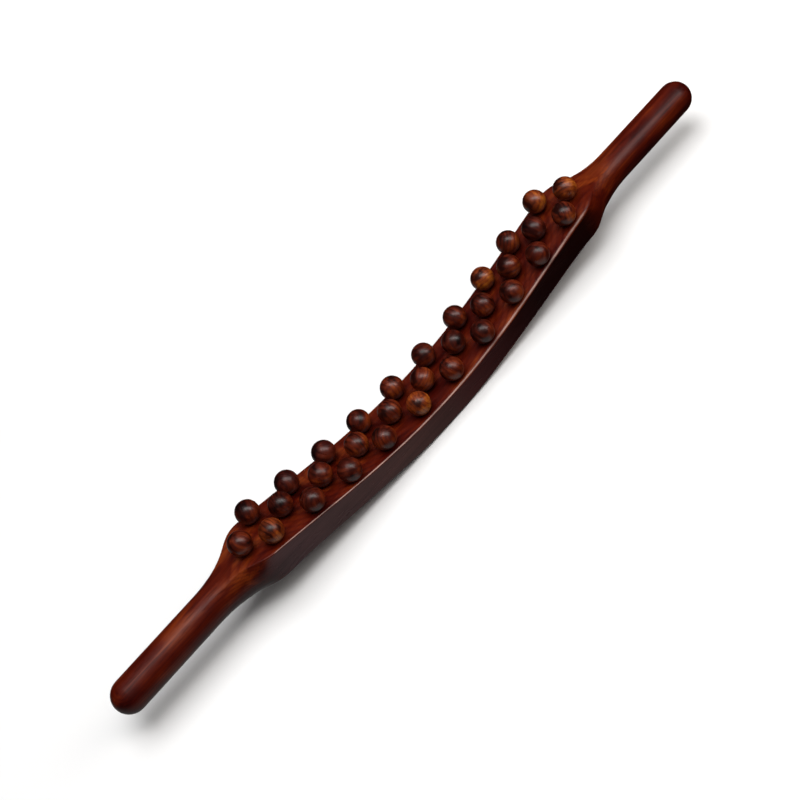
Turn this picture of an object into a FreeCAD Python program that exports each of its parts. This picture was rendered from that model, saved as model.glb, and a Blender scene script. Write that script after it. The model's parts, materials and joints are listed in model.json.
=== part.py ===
import FreeCAD, Part
import math
import os

os.makedirs("parts", exist_ok=True)

V = FreeCAD.Vector

# Curved wooden massage stick: one carved body with a round handle at each end,
# and three rows of ball beads pegged to its concave upper face.
# Millimetres. +X along the stick, +Y to the rear, +Z up (bead side).
# Origin: middle of the stick in X and Y, lowest point of the belly in Z.

# ---- driving dimensions -------------------------------------------------
LENGTH = 520.0            # tip to tip
BODY_WIDTH = 40.0         # width of the board that carries the beads
MID_THICK = 17.2          # thickness of the board at mid length
HANDLE_R = 10.9           # radius of the round handles
HANDLE_Z = 26.7           # height of both handle axes above the belly
SAG_2 = 1.50e-3           # concave upper face: z = SAG_2 x^2 + SAG_4 x^4
SAG_4 = -2.24e-8
ARRIS_R = 1.55            # rounding along the board's long edges at mid length
ARRIS_GROWTH = 0.0046     # the hand-sanded edges get rounder towards the +X end, mm per mm
TOP_NECK = (140.0, 168.0)      # |x| over which the upper face runs down to the handle
RIDGE_NECK = (137.0, 161.0)    # |x| over which the flat sides turn into full round ones
ROUND_NECK = (159.0, 188.0)    # |x| over which the last flats and ridges die away
NECK_END = 188.0               # |x| where the true cylinder starts
HALF_WIDTH = [             # plan outline: |x|, half width
    (0.0, BODY_WIDTH / 2), (128.0, BODY_WIDTH / 2), (141.0, BODY_WIDTH / 2), (147.0, 19.5),
    (153.0, 17.9), (160.0, 15.1), (168.0, 12.8), (176.0, 11.5), (182.0, 11.02), (188.0, HANDLE_R),
]
BELLY = [                  # lower profile: |x|, height above the belly's lowest point
    (0.0, 0.0), (20.0, 0.6), (35.0, 1.95), (50.0, 4.0), (65.0, 6.2), (80.0, 8.5),
    (100.0, 12.0), (120.0, 15.2), (134.0, 16.8), (147.0, 17.1), (156.0, 16.6),
    (164.0, 16.15), (172.0, 15.92), (180.0, 15.82), (188.0, 15.8),
]

BEAD_R = 7.5              # ball beads
BEAD_RISE = 6.9           # bead centre above the upper face, so the ball has a small flat foot
GLUE_GAP = 0.05           # glue line under each foot and around each dowel
DOWEL_R = 2.0             # hidden dowels
DOWEL_IN_BODY = 8.0
DOWEL_IN_BEAD = 7.6

# foot of each bead on the upper face, (x, y), from the -X end to the +X end
REAR_ROW = [
    (-131.4, 13.3), (-103.0, 12.1), (-74.3, 12.2), (-45.2, 12.7), (-14.8, 13.8),
    (14.2, 13.2), (45.2, 12.5), (75.0, 12.8), (102.3, 12.3), (132.2, 13.2),
]
CENTRE_ROW = [
    (-147.7, -2.5), (-116.1, 0.7), (-87.2, -0.9), (-58.7, -1.0), (-29.2, 0.8),
    (-0.3, -0.2), (30.6, 0.6), (60.0, -0.0), (88.5, 0.4), (116.2, 0.9),
    (146.3, -1.1),
]
FRONT_ROW = [
    (-131.8, -11.6), (-102.7, -13.0), (-74.6, -13.4), (-45.6, -12.3), (-15.3, -11.8),
    (14.7, -12.5), (44.7, -13.2), (75.0, -13.2), (102.7, -13.5), (131.6, -12.7),
]


# ---- curves -------------------------------------------------------------
def ease(u):
    u = min(max(u, 0.0), 1.0)
    return u * u * (3.0 - 2.0 * u)


def between(x, span):
    return ease((abs(x) - span[0]) / (span[1] - span[0]))


class Profile:
    """Smooth cubic through (|x|, value) points, with three-point slopes."""

    def __init__(self, points):
        self.xs = [p[0] for p in points]
        self.zs = [p[1] for p in points]
        self.ms = [0.0] * len(points)
        for i in range(1, len(points) - 1):
            h0, h1 = self.xs[i] - self.xs[i - 1], self.xs[i + 1] - self.xs[i]
            d0 = (self.zs[i] - self.zs[i - 1]) / h0
            d1 = (self.zs[i + 1] - self.zs[i]) / h1
            self.ms[i] = 0.0 if d0 * d1 < 0 or d0 == 0 or d1 == 0 else (d0 * h1 + d1 * h0) / (h0 + h1)

    def __call__(self, x):
        ax = min(abs(x), self.xs[-1])
        i = 0
        while i < len(self.xs) - 2 and ax > self.xs[i + 1]:
            i += 1
        h = self.xs[i + 1] - self.xs[i]
        t = (ax - self.xs[i]) / h
        return ((2 * t ** 3 - 3 * t ** 2 + 1) * self.zs[i] + (t ** 3 - 2 * t ** 2 + t) * h * self.ms[i]
                + (-2 * t ** 3 + 3 * t ** 2) * self.zs[i + 1] + (t ** 3 - t ** 2) * h * self.ms[i + 1])


belly = Profile(BELLY)
half_width = Profile(HALF_WIDTH)


def upper(x):
    z = MID_THICK + SAG_2 * x ** 2 + SAG_4 * x ** 4
    return z + (HANDLE_Z + HANDLE_R - z) * between(x, TOP_NECK)


def section(x):
    """Four-centred oval at one station: a soft rectangle in the board, flat above and round at the
    sides in the neck, a circle at the handle."""
    a = half_width(x)
    top, bottom = upper(x), belly(x)
    b, zc = (top - bottom) / 2, (top + bottom) / 2
    k = between(x, ROUND_NECK)
    if abs(x) >= NECK_END - 1e-9:
        a = b = HANDLE_R
        zc = HANDLE_Z
        k = 1.0
    edge = ARRIS_R + ARRIS_GROWTH * max(-140.0, min(140.0, x))
    r = edge + (min(a, b) * (0.9 + 0.1 * k) - edge) * k
    alpha = math.radians(0.45 + 27.55 * k)
    beta = math.radians(0.45 + 49.55 * between(x, RIDGE_NECK) + 6.0 * k)
    sa, ca, sb, cb = math.sin(alpha), math.cos(alpha), math.sin(beta), math.cos(beta)
    if k > 0.999999 and abs(a - b) < 1e-9:
        rt = rs = r
    else:
        # large radii of the flat faces, so that they run into the corner arcs without a kink
        m11, m12, v1 = sa, 1 - cb, a - r * cb + r * sa
        m21, m22, v2 = 1 - ca, sb, b - r * ca + r * sb
        det = m11 * m22 - m12 * m21
        rt = (v1 * m22 - m12 * v2) / det
        rs = (m11 * v2 - m21 * v1) / det
    assert rt >= r - 1e-9 and rs >= r - 1e-9, "section at x=%g is not convex" % x
    cx, cz = (rt - r) * sa, (rs - r) * sb
    quarter = math.pi / 2
    arcs = [
        (a - rs, 0.0, rs, 0.0, beta),
        (cx, cz, r, beta, quarter - alpha),
        (0.0, b - rt, rt, quarter - alpha, quarter + alpha),
        (-cx, cz, r, quarter + alpha, 2 * quarter - beta),
        (-(a - rs), 0.0, rs, 2 * quarter - beta, 2 * quarter),
        (-(a - rs), 0.0, rs, 2 * quarter, 2 * quarter + beta),
        (-cx, -cz, r, 2 * quarter + beta, 3 * quarter - alpha),
        (0.0, -(b - rt), rt, 3 * quarter - alpha, 3 * quarter),
        (0.0, -(b - rt), rt, 3 * quarter, 3 * quarter + alpha),
        (cx, -cz, r, 3 * quarter + alpha, 4 * quarter - beta),
        (a - rs, 0.0, rs, 4 * quarter - beta, 4 * quarter),
    ]
    poles = []
    for cy, cz2, rad, t0, t1 in arcs:
        tm, w = (t0 + t1) / 2, math.cos((t1 - t0) / 2)
        cz3 = zc + cz2
        poles.append([
            (x, cy + rad * math.cos(t0), cz3 + rad * math.sin(t0), 1.0),
            (x * w, cy * w + rad * math.cos(tm), cz3 * w + rad * math.sin(tm), w),
            (x, cy + rad * math.cos(t1), cz3 + rad * math.sin(t1), 1.0),
        ])
    return poles


def slope_of(x, lo, hi):
    """Rate of change of every section pole along x."""
    d = 0.02
    x0, x1 = max(x - d, lo), min(x + d, hi)
    s0, s1 = section(x0), section(x1)
    return [[tuple((q[k] - p[k]) / (x1 - x0) for k in range(4)) for p, q in zip(a0, a1)]
            for a0, a1 in zip(s0, s1)]


# ---- carved body --------------------------------------------------------
half = [12.0 * i for i in range(11)] + [128.0 + 4.0 * i for i in range(16)]
stations = sorted(set([-s for s in half] + half))
sections = [section(s) for s in stations]
slopes = [slope_of(s, stations[0], stations[-1]) for s in stations]


def skin(i):
    """One of the eleven long faces: an exact arc across, a smooth cubic along."""
    rows = []
    for j in range(3):
        row = []
        for n, s in enumerate(stations):
            p, m = sections[n][i][j], slopes[n][i][j]
            if n > 0:
                h = (s - stations[n - 1]) / 3.0
                row.append(tuple(p[k] - h * m[k] for k in range(4)))
            if n == 0 or n == len(stations) - 1:
                row.append(p)
            if n < len(stations) - 1:
                h = (stations[n + 1] - s) / 3.0
                row.append(tuple(p[k] + h * m[k] for k in range(4)))
        rows.append(row)
    mults = [4] + [2] * (len(stations) - 2) + [4]
    surface = Part.BSplineSurface()
    surface.buildFromPolesMultsKnots(
        [[V(q[0] / q[3], q[1] / q[3], q[2] / q[3]) for q in row] for row in rows],
        [3, 3], mults, [0.0, 1.0], stations, False, False, 2, 3,
        [[q[3] for q in row] for row in rows])
    return surface.toShape()


def cap(n):
    """Flat end of the board, closed by the same eleven arcs."""
    edges = []
    for p in sections[n]:
        q = [V(c[0] / c[3], c[1] / c[3], c[2] / c[3]) for c in p]
        arc = Part.BSplineCurve()
        arc.buildFromPolesMultsKnots(q, [3, 3], [0.0, 1.0], False, 2, [c[3] for c in p])
        edges.append(arc.toShape())
    return Part.Face(Part.Wire(edges))


shell = Part.Shell([skin(i) for i in range(len(sections[0]))] + [cap(0), cap(-1)])
shell.sewShape()
board = Part.Solid(shell)
if board.Volume < 0:
    board.reverse()


def handle(sign):
    """Straight round handle with a hemispherical tip, as one turned profile."""
    x0 = sign * NECK_END
    x1 = sign * (LENGTH / 2 - HANDLE_R)
    x2 = sign * LENGTH / 2
    mid = V(x1 + sign * HANDLE_R * math.sin(math.pi / 4), 0, HANDLE_Z + HANDLE_R * math.cos(math.pi / 4))
    outline = Part.Wire([
        Part.makeLine(V(x0, 0, HANDLE_Z), V(x0, 0, HANDLE_Z + HANDLE_R)),
        Part.makeLine(V(x0, 0, HANDLE_Z + HANDLE_R), V(x1, 0, HANDLE_Z + HANDLE_R)),
        Part.Arc(V(x1, 0, HANDLE_Z + HANDLE_R), mid, V(x2, 0, HANDLE_Z)).toShape(),
        Part.makeLine(V(x2, 0, HANDLE_Z), V(x0, 0, HANDLE_Z)),
    ])
    solid = Part.Face(outline).revolve(V(0, 0, HANDLE_Z), V(1, 0, 0), 360)
    if solid.Volume < 0:
        solid.reverse()
    return solid


body = board.fuse([handle(-1), handle(1)])


# ---- beads and dowels ---------------------------------------------------
def foot(x, y):
    """Foot point on the upper face and the face's own normal there."""
    d = 0.01
    slope = (upper(x + d) - upper(x - d)) / (2 * d)
    n = V(-slope, 0, 1)
    n.normalize()
    return V(x, y, upper(x)), n


def bead(x, y):
    p, n = foot(x, y)
    ball = Part.makeSphere(BEAD_R, p + n * BEAD_RISE)
    tool = Part.makeCylinder(3 * BEAD_R, 3 * BEAD_R, p + n * (GLUE_GAP - 3 * BEAD_R), n)
    bore = Part.makeCylinder(DOWEL_R + GLUE_GAP, DOWEL_IN_BEAD + 0.4 + 1.0, p - n * 1.0, n)
    return ball.cut([tool, bore])


def dowel(x, y):
    p, n = foot(x, y)
    return Part.makeCylinder(DOWEL_R, DOWEL_IN_BODY + DOWEL_IN_BEAD, p - n * DOWEL_IN_BODY, n)


def socket(x, y):
    p, n = foot(x, y)
    return Part.makeCylinder(DOWEL_R + GLUE_GAP, DOWEL_IN_BODY + 0.4 + 2.0, p - n * (DOWEL_IN_BODY + 0.4), n)


ROWS = [("rear", REAR_ROW), ("centre", CENTRE_ROW), ("front", FRONT_ROW)]
body = body.cut([socket(*q) for _, row in ROWS for q in row])
solids = body.Solids
body = solids[0] if len(solids) == 1 else body

nodes = {"carved_body": body}
for name, row in ROWS:
    for i, q in enumerate(row):
        nodes["%s_bead_%02d" % (name, i + 1)] = bead(*q)
    nodes["%s_row_dowels" % name] = Part.makeCompound([dowel(*q) for q in row])

for name, shape in nodes.items():
    shape.exportStep("parts/%s.step" % name)
    box = shape.BoundBox
    print("%-16s solids %2d  valid %s  volume %10.1f  x %.2f..%.2f  y %.2f..%.2f  z %.2f..%.2f" % (
        name, len(shape.Solids), shape.isValid(), shape.Volume,
        box.XMin, box.XMax, box.YMin, box.YMax, box.ZMin, box.ZMax))
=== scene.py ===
import json
import math
import random

import bpy
from mathutils import Matrix, Vector

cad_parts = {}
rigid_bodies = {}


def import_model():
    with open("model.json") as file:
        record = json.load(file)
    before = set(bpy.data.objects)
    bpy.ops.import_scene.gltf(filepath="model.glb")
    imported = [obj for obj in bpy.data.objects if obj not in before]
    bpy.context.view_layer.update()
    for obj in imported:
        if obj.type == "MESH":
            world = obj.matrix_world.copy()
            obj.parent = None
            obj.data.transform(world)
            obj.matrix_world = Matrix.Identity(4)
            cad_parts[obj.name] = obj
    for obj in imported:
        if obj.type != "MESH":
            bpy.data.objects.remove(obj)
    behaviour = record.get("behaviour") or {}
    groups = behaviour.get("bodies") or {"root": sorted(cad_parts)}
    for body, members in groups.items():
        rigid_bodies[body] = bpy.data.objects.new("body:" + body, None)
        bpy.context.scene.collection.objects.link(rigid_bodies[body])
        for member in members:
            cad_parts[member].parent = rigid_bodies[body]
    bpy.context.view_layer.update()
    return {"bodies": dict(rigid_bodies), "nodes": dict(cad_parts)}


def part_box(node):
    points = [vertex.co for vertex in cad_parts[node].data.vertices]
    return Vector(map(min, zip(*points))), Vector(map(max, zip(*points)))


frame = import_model()
scene = bpy.context.scene
scene.view_settings.view_transform = "Standard"
scene.view_settings.look = "None"


# ---- node helpers -------------------------------------------------------
class Net:
    """A short way to wire shader nodes."""

    def __init__(self, name):
        self.mat = bpy.data.materials.new(name)
        self.mat.use_nodes = True
        self.t = self.mat.node_tree
        self.t.nodes.clear()
        self.out = self.t.nodes.new("ShaderNodeOutputMaterial")
        self.bsdf = self.t.nodes.new("ShaderNodeBsdfPrincipled")
        self.t.links.new(self.bsdf.outputs[0], self.out.inputs["Surface"])
        self.coord = self.t.nodes.new("ShaderNodeTexCoord").outputs["Object"]

    def put(self, socket, v):
        if isinstance(v, bpy.types.NodeSocket):
            self.t.links.new(v, socket)
        elif v is not None:
            socket.default_value = v

    def math(self, op, a, b=None, c=None, clamp=False):
        n = self.t.nodes.new("ShaderNodeMath")
        n.operation, n.use_clamp = op, clamp
        for i, v in enumerate((a, b, c)):
            self.put(n.inputs[i], v)
        return n.outputs[0]

    def mapping(self, vec, loc=(0, 0, 0), rot=(0, 0, 0), scale=(1, 1, 1)):
        n = self.t.nodes.new("ShaderNodeMapping")
        self.put(n.inputs["Vector"], vec)
        n.inputs["Location"].default_value = loc
        n.inputs["Rotation"].default_value = rot
        n.inputs["Scale"].default_value = scale
        return n.outputs[0]

    def noise(self, vec, scale, detail=2.0, rough=0.5, dist=0.0):
        n = self.t.nodes.new("ShaderNodeTexNoise")
        self.put(n.inputs["Vector"], vec)
        n.inputs["Scale"].default_value = scale
        n.inputs["Detail"].default_value = detail
        n.inputs["Roughness"].default_value = rough
        n.inputs["Distortion"].default_value = dist
        return n.outputs["Fac"]

    def split(self, vec):
        n = self.t.nodes.new("ShaderNodeSeparateXYZ")
        self.put(n.inputs[0], vec)
        return n.outputs

    def ramp(self, fac, stops, mode="LINEAR"):
        n = self.t.nodes.new("ShaderNodeValToRGB")
        self.put(n.inputs[0], fac)
        r = n.color_ramp
        r.interpolation = mode
        while len(r.elements) > 1:
            r.elements.remove(r.elements[-1])
        r.elements[0].position, r.elements[0].color = stops[0][0], (*stops[0][1], 1)
        for p, c in stops[1:]:
            r.elements.new(p).color = (*c, 1)
        return n.outputs[0]

    def mix(self, fac, a, b, mode="MIX"):
        n = self.t.nodes.new("ShaderNodeMix")
        n.data_type, n.blend_type = "RGBA", mode
        self.put(n.inputs[0], fac)
        self.put(n.inputs[6], (*a, 1) if isinstance(a, tuple) else a)
        self.put(n.inputs[7], (*b, 1) if isinstance(b, tuple) else b)
        return n.outputs[2]

    def remap(self, v, a, b, c, d):
        n = self.t.nodes.new("ShaderNodeMapRange")
        self.put(n.inputs[0], v)
        for i, x in enumerate((a, b, c, d)):
            n.inputs[i + 1].default_value = x
        return n.outputs[0]

    def bump(self, height, strength, distance, before=None):
        n = self.t.nodes.new("ShaderNodeBump")
        self.put(n.inputs["Height"], height)
        n.inputs["Strength"].default_value = strength
        n.inputs["Distance"].default_value = distance
        if before is not None:
            self.t.links.new(before, n.inputs["Normal"])
        return n.outputs[0]


def growth(net, vec, pith, period, wander, wander_scale, jitter=0.0):
    """Growth-ring signal 0..1 about an axis along local X, with pale early wood and thin dark late wood."""
    warp = net.noise(net.mapping(vec, scale=(0.35, 1, 1)), wander_scale, 3.0, 0.55)
    x, y, z = net.split(vec)
    dy = net.math("SUBTRACT", y, pith[0])
    dz = net.math("SUBTRACT", z, pith[1])
    rr = net.math("SQRT", net.math("ADD", net.math("MULTIPLY", dy, dy), net.math("MULTIPLY", dz, dz)))
    rr = net.math("ADD", rr, net.math("MULTIPLY", net.math("SUBTRACT", warp, 0.5), wander))
    if jitter:
        fine = net.noise(net.mapping(vec, scale=(0.1, 1, 1)), 420.0, 1.0, 0.5)
        rr = net.math("ADD", rr, net.math("MULTIPLY", net.math("SUBTRACT", fine, 0.5), jitter))
    ring = net.math("FRACT", net.math("DIVIDE", rr, period))
    return ring, warp


# ---- stained body -------------------------------------------------------
SAG_2, SAG_4 = 1.50e-3, -2.24e-8      # upper face in mm: z = 17.2 + SAG_2 x^2 + SAG_4 x^4


def body_material():
    n = Net("stained_wood_body")
    P = n.coord
    x, y, z = n.split(P)
    ring, warp = growth(n, P, (0.012, -0.052), 0.0014, 0.0040, 9.0, 0.0004)
    fibre = n.noise(n.mapping(P, scale=(10, 520, 520)), 1.0, 4.0, 0.62)
    streak = n.noise(n.mapping(P, scale=(9, 150, 150)), 1.0, 4.0, 0.62)
    broad = n.noise(n.mapping(P, scale=(26, 62, 62)), 1.0, 3.0, 0.55)
    late = n.ramp(ring, [(0.0, (0.50,) * 3), (0.50, (0.58,) * 3), (0.80, (0.30,) * 3), (0.92, (0.24,) * 3), (1.0, (0.50,) * 3)])
    tone = n.math("ADD", n.math("MULTIPLY", late, 0.17), n.math("MULTIPLY", streak, 0.38))
    tone = n.math("ADD", tone, n.math("MULTIPLY", broad, 0.50))
    tone = n.math("ADD", tone, n.math("MULTIPLY", fibre, 0.16))
    col = n.ramp(tone, [
        (0.41, (0.014, 0.0004, 0.0002)),
        (0.52, (0.042, 0.0017, 0.0005)),
        (0.62, (0.084, 0.0066, 0.0010)),
        (0.74, (0.190, 0.0290, 0.0032)),
    ])
    pores = n.ramp(n.noise(n.mapping(P, scale=(60, 1000, 1000)), 1.0, 1.0, 0.5), [(0.58, (1, 1, 1)), (0.70, (0.42, 0.36, 0.36))])
    col = n.mix(0.65, col, pores, "MULTIPLY")
    # the two long flanks are darker than the upper face, near-black towards the +X end; towards -X their greyish
    # plum colour is a painted reflection of a pale card
    nx, ny, nz = n.split(n.t.nodes.new("ShaderNodeTexCoord").outputs["Normal"])
    flank = n.remap(n.math("ABSOLUTE", ny), 0.93, 0.995, 0.0, 1.0)
    flank = n.math("MULTIPLY", flank, n.remap(n.math("ABSOLUTE", x), 0.135, 0.165, 1.0, 0.0))
    # flank colour ramp: greyish plum at -X is a painted reflection of a pale card, grading to near-black stain at
    # +X
    side = n.ramp(n.remap(n.math("ADD", x, n.math("MULTIPLY", n.math("SUBTRACT", broad, 0.5), 0.06)), -0.15, 0.08, 0.0, 1.0),
                  [(0.0, (0.082, 0.038, 0.041)), (0.50, (0.084, 0.034, 0.030)), (0.78, (0.046, 0.0085, 0.0088)), (1.0, (0.011, 0.0008, 0.0004))])
    figure = n.ramp(tone, [(0.41, (0.62,) * 3), (0.74, (1.45,) * 3)])
    col = n.mix(flank, col, n.mix(1.0, side, figure, "MULTIPLY"))
    # paler colour along the two upper arrises of the board: partly worn lacquer, partly a painted highlight line,
    # fading towards +X
    x2 = n.math("MULTIPLY", n.math("MULTIPLY", x, x), 1e6)
    top = n.math("ADD", n.math("MULTIPLY", x2, SAG_2), n.math("MULTIPLY", n.math("MULTIPLY", x2, x2), SAG_4))
    drop = n.math("SUBTRACT", n.math("ADD", top, 17.2), n.math("MULTIPLY", z, 1000.0))
    inset = n.math("SUBTRACT", 20.0, n.math("ABSOLUTE", n.math("MULTIPLY", y, 1000.0)))
    reach = n.math("SQRT", n.math("ADD", n.math("MULTIPLY", drop, drop), n.math("MULTIPLY", inset, inset)))
    round_r = n.math("ADD", n.math("MULTIPLY", x, 4.6), 1.55)
    arris = n.remap(n.math("DIVIDE", reach, round_r), 0.46, 0.66, 1.0, 0.0)
    arris = n.math("MULTIPLY", arris, n.remap(n.math("ABSOLUTE", x), 0.138, 0.148, 1.0, 0.0))
    scuff = n.remap(n.noise(n.mapping(P, scale=(60, 160, 160)), 1.0, 3.0, 0.6), 0.34, 0.56, 0.35, 1.0)
    arris_wear_and_highlight = n.math("MULTIPLY", arris, scuff)
    arris_wear_and_highlight = n.math("MULTIPLY", arris_wear_and_highlight, n.remap(x, -0.10, 0.12, 0.95, 0.60))
    # lays the pale arris colour on: wear and a painted highlight line together
    col = n.mix(arris_wear_and_highlight, col, (0.56, 0.36, 0.30))
    n.put(n.bsdf.inputs["Base Color"], col)
    rough = n.remap(n.noise(n.mapping(P, scale=(34, 110, 110)), 1.0, 3.0, 0.6), 0.3, 0.7, 0.31, 0.41)
    rough = n.math("SUBTRACT", rough, n.math("MULTIPLY", arris, 0.08))
    rough = n.math("SUBTRACT", rough, n.math("MULTIPLY", flank, 0.11))
    n.put(n.bsdf.inputs["Roughness"], rough)
    n.put(n.bsdf.inputs["Specular IOR Level"], 0.45)
    h = n.math("ADD", n.math("MULTIPLY", fibre, 0.6), n.math("MULTIPLY", late, 0.25))
    b1 = n.bump(h, 0.30, 0.00012)
    b2 = n.bump(n.noise(n.mapping(P, scale=(16, 34, 34)), 1.0, 2.0, 0.5), 0.22, 0.0009, b1)
    n.put(n.bsdf.inputs["Normal"], b2)
    return n.mat


# ---- beads --------------------------------------------------------------
TONES = {  # stain takes each ball differently: dark figure, main colour, light figure
    "plum": ((0.0055, 0.0004, 0.0003), (0.036, 0.0034, 0.0018), (0.130, 0.0180, 0.0066)),
    "dark": ((0.0065, 0.0004, 0.0002), (0.047, 0.0043, 0.0014), (0.170, 0.0235, 0.0056)),
    "mid": ((0.0090, 0.0006, 0.0002), (0.071, 0.0068, 0.0018), (0.245, 0.0380, 0.0066)),
    "warm": ((0.0125, 0.0009, 0.0003), (0.106, 0.0118, 0.0026), (0.350, 0.0680, 0.0090)),
    "orange": ((0.0220, 0.0020, 0.0005), (0.190, 0.0300, 0.0042), (0.520, 0.1450, 0.0150)),
}
TONE_OF = {
    # from the -X end to the +X end of each row
    "rear": "dark plum plum mid warm dark mid orange warm orange",
    "centre": "mid dark mid warm warm warm dark mid warm plum orange",
    "front": "orange dark dark mid orange mid dark mid mid warm",
}


def bead_material(name, tone, centre, seed):
    rnd = random.Random(seed)
    n = Net("stained_" + name)
    lo, md, hi = TONES[tone]
    local = n.mapping(n.coord, loc=tuple(-c for c in centre))
    turned = n.mapping(local, rot=tuple(rnd.uniform(0, math.tau) for _ in range(3)))
    shifted = n.mapping(turned, loc=tuple(rnd.uniform(-0.4, 0.4) for _ in range(3)))
    ring, warp = growth(n, shifted, (rnd.uniform(-0.41, -0.39), rnd.uniform(0.39, 0.41)), rnd.uniform(0.0019, 0.0030), 0.006, 55.0, 0.0004)
    streak = n.noise(n.mapping(shifted, scale=(32, 330, 330)), 1.0, 4.0, 0.62)
    broad = n.noise(n.mapping(shifted, scale=(60, 130, 130)), 1.0, 2.0, 0.5)
    late = n.ramp(ring, [(0.0, (0.72,) * 3), (0.5, (0.66,) * 3), (0.82, (0.18,) * 3), (0.92, (0.14,) * 3), (1.0, (0.72,) * 3)])
    # painted light: each ball's colour is lighter towards +X, the front and the underside, a painted glow where
    # the lamps light it
    lx, ly, lz = n.split(local)
    low = n.math("ADD", n.math("MULTIPLY", lx, 45.0), n.math("ADD", n.math("MULTIPLY", ly, -75.0), n.math("MULTIPLY", lz, -80.0)))
    tone_and_painted_light = n.math("ADD", n.math("MULTIPLY", late, 0.13), n.math("MULTIPLY", streak, 0.46))
    tone_and_painted_light = n.math("ADD", tone_and_painted_light, n.math("MULTIPLY", broad, 0.62))
    # adds each ball's painted light gradient into its tone
    tone_and_painted_light = n.math("ADD", tone_and_painted_light, n.math("MULTIPLY", low, 0.15))
    n.put(n.bsdf.inputs["Base Color"], n.ramp(tone_and_painted_light, [(0.46, lo), (0.62, md), (0.84, hi)]))
    n.put(n.bsdf.inputs["Roughness"], n.remap(n.noise(n.mapping(shifted, scale=(60, 330, 330)), 1.0, 3.0, 0.6), 0.3, 0.7, 0.27, 0.41))
    n.put(n.bsdf.inputs["Specular IOR Level"], 1.0)
    rib = n.math("ADD", n.math("MULTIPLY", streak, 0.8), n.math("MULTIPLY", late, 0.25))
    n.put(n.bsdf.inputs["Normal"], n.bump(rib, 0.45, 0.00016))
    return n.mat


def dowel_material():
    n = Net("plain_dowel_wood")
    fibre = n.noise(n.mapping(n.coord, scale=(700, 700, 60)), 1.0, 3.0, 0.6)
    n.put(n.bsdf.inputs["Base Color"], n.ramp(fibre, [(0.3, (0.34, 0.20, 0.10)), (0.7, (0.55, 0.38, 0.21))]))
    n.put(n.bsdf.inputs["Roughness"], n.remap(fibre, 0.3, 0.7, 0.55, 0.75))
    n.put(n.bsdf.inputs["Normal"], n.bump(fibre, 0.4, 0.0001))
    return n.mat


BODY = list(frame["bodies"])[0]
body_mat, dowel_mat = body_material(), dowel_material()
for i, (name, obj) in enumerate(sorted(frame["nodes"].items())):
    if name == "carved_body":
        mat = body_mat
    elif name.endswith("dowels"):
        mat = dowel_mat
    else:
        row, _, k = name.split("_")
        lo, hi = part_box(name)
        centre = ((lo[0] + hi[0]) / 2, (lo[1] + hi[1]) / 2, hi[2] - 0.0075)
        mat = bead_material(name, TONE_OF[row].split()[int(k) - 1], centre, 100 + i)
    obj.data.materials.clear()
    obj.data.materials.append(mat)
    for p in obj.data.polygons:
        p.material_index = 0


# ---- floor and light ----------------------------------------------------
floor_mesh = bpy.data.meshes.new("floor")
floor_mesh.from_pydata([(-6, -6, 0), (6, -6, 0), (6, 6, 0), (-6, 6, 0)], [], [(0, 1, 2, 3)])
floor = bpy.data.objects.new("floor", floor_mesh)
scene.collection.objects.link(floor)
# white floor that the lamps light near the object, blending outwards into the evenly lit backdrop
fn = Net("floor_white")
fb = fn.bsdf
fb.inputs["Base Color"].default_value = (0.84, 0.84, 0.84, 1)
fb.inputs["Roughness"].default_value = 0.9
fb.inputs["Specular IOR Level"].default_value = 0.0
fx, fy, fz = fn.split(fn.coord)
away = fn.math("SQRT", fn.math("ADD", fn.math("MULTIPLY", fx, fx), fn.math("MULTIPLY", fy, fy)))
fb.inputs["Emission Color"].default_value = (1, 1, 1, 1)
fn.put(fb.inputs["Emission Strength"], fn.remap(away, 0.36, 1.40, 0.0, 1.0))
floor_mesh.materials.append(fn.mat)

# plain pale backdrop, a wide bowl from the floor up, seen by the camera only
rings, turns = 24, 64
pts, quads = [], []
for i in range(rings + 1):
    e = math.pi / 2 * i / rings
    for j in range(turns):
        h = math.tau * j / turns
        pts.append((5.5 * math.cos(e) * math.cos(h), 5.5 * math.cos(e) * math.sin(h), 5.5 * math.sin(e) - 0.01))
for i in range(rings):
    for j in range(turns):
        k = (j + 1) % turns
        quads.append((i * turns + j, i * turns + k, (i + 1) * turns + k, (i + 1) * turns + j))
bowl_mesh = bpy.data.meshes.new("backdrop")
bowl_mesh.from_pydata(pts, [], quads)
bowl = bpy.data.objects.new("backdrop", bowl_mesh)
scene.collection.objects.link(bowl)
bm = Net("backdrop_white")
bm.bsdf.inputs["Base Color"].default_value = (0.0, 0.0, 0.0, 1)
bm.bsdf.inputs["Specular IOR Level"].default_value = 0.0
bm.bsdf.inputs["Emission Color"].default_value = (1, 1, 1, 1)
bm.bsdf.inputs["Emission Strength"].default_value = 1.0
bowl_mesh.materials.append(bm.mat)
bowl.visible_shadow = False
for o in (floor, bowl):
    o.visible_glossy = False
    o.visible_diffuse = False
    o.data.materials[0].cycles.emission_sampling = "NONE"


def area(name, where, target, size, watts, colour=(1, 1, 1), along=(1, 0, 0)):
    data = bpy.data.lights.new(name, "AREA")
    data.shape, data.size, data.size_y = "RECTANGLE", size[0], size[1]
    data.energy, data.color = watts, colour
    o = bpy.data.objects.new(name, data)
    az = (Vector(where) - Vector(target)).normalized()
    ax = Vector(along)
    ax = (ax - az * ax.dot(az)).normalized()
    place = Matrix((ax, az.cross(ax), az)).transposed().to_4x4()
    place.translation = Vector(where)
    o.matrix_world = place
    scene.collection.objects.link(o)
    return o


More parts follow.
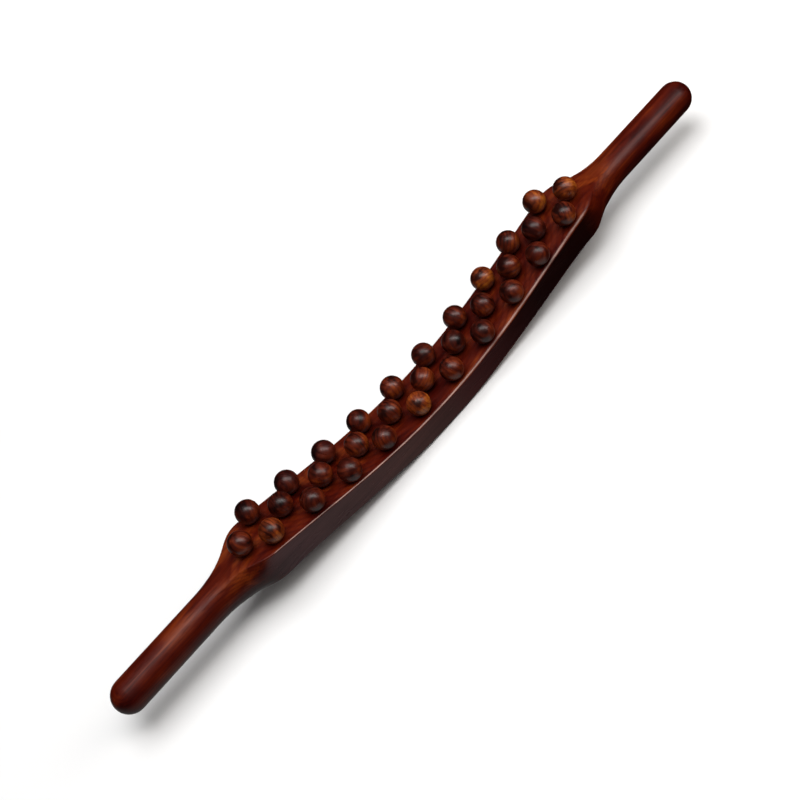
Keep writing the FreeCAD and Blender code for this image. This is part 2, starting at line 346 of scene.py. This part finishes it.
# broad overhead light, a slanting strip that makes the sheen on the lacquer, and fill
key = area("key", (0.06, 0.06, 2.30), (0, 0, 0.02), (1.90, 2.50), 54.0)
key.visible_glossy = False
sheen = area("sheen", (0.38, -0.54, 1.12), (0.05, 0, 0.02), (1.80, 0.42), 6.0, (1.0, 0.97, 0.95), (1.2, -0.95, 0))
dome = area("dome", (0.0, 0.10, 1.50), (0, 0, 0.0), (5.0, 5.0), 20.0)
dome.visible_glossy = False
side = area("side", (1.15, -0.45, 0.55), (0, 0, 0.03), (0.7, 0.7), 5.0, (1.0, 0.93, 0.86))
side.visible_glossy = False

# Studio surroundings: dim above, a grey card low in front of the -X half, dark elsewhere below
world = bpy.data.worlds.new("studio")
scene.world = world
world.use_nodes = True
wt = world.node_tree
bg = wt.nodes["Background"]
bg.inputs["Color"].default_value = (1.0, 0.99, 0.98, 1)
sep = wt.nodes.new("ShaderNodeSeparateXYZ")
wt.links.new(wt.nodes.new("ShaderNodeTexCoord").outputs["Generated"], sep.inputs[0])


def w_range(v, a, b, c, d):
    n = wt.nodes.new("ShaderNodeMapRange")
    n.interpolation_type = "SMOOTHSTEP"
    wt.links.new(v, n.inputs[0])
    for i, x in enumerate((a, b, c, d)):
        n.inputs[i + 1].default_value = x
    return n.outputs[0]


def w_math(op, a, b):
    n = wt.nodes.new("ShaderNodeMath")
    n.operation = op
    for i, v in enumerate((a, b)):
        if isinstance(v, bpy.types.NodeSocket):
            wt.links.new(v, n.inputs[i])
        else:
            n.inputs[i].default_value = v
    return n.outputs[0]


low = w_range(sep.outputs["Z"], -0.25, -0.50, 0.0, 1.0)
leftward = w_range(sep.outputs["X"], 0.21, 0.29, 1.0, 0.0)
card = w_math("MULTIPLY", low, leftward)
sky = w_range(sep.outputs["Z"], -0.05, 0.5, 0.004, 0.015)
wt.links.new(w_math("ADD", sky, w_math("MULTIPLY", card, 0.24)), bg.inputs["Strength"])

# ---- camera -------------------------------------------------------------
AZ, EL, ROLL = math.radians(-18.63), math.radians(43.72), math.radians(-34.46)
DIST, TX, TY = 0.84627, -0.01637, -0.00856
back = Vector((math.sin(AZ) * math.cos(EL), -math.cos(AZ) * math.cos(EL), math.sin(EL)))
right = Vector((math.cos(AZ), math.sin(AZ), 0))
up_v = back.cross(right)
cx = right * math.cos(ROLL) + up_v * math.sin(ROLL)
cy = up_v * math.cos(ROLL) - right * math.sin(ROLL)
cam_data = bpy.data.cameras.new("camera")
cam_data.sensor_width, cam_data.lens = 36.0, 63.0
cam_data.clip_start, cam_data.clip_end = 0.01, 50
cam = bpy.data.objects.new("camera", cam_data)
m = Matrix((cx, cy, back)).transposed().to_4x4()
m.translation = Vector((0, 0, 0.0172)) + back * DIST + cx * TX + cy * TY
cam.matrix_world = m
scene.collection.objects.link(cam)
scene.camera = cam
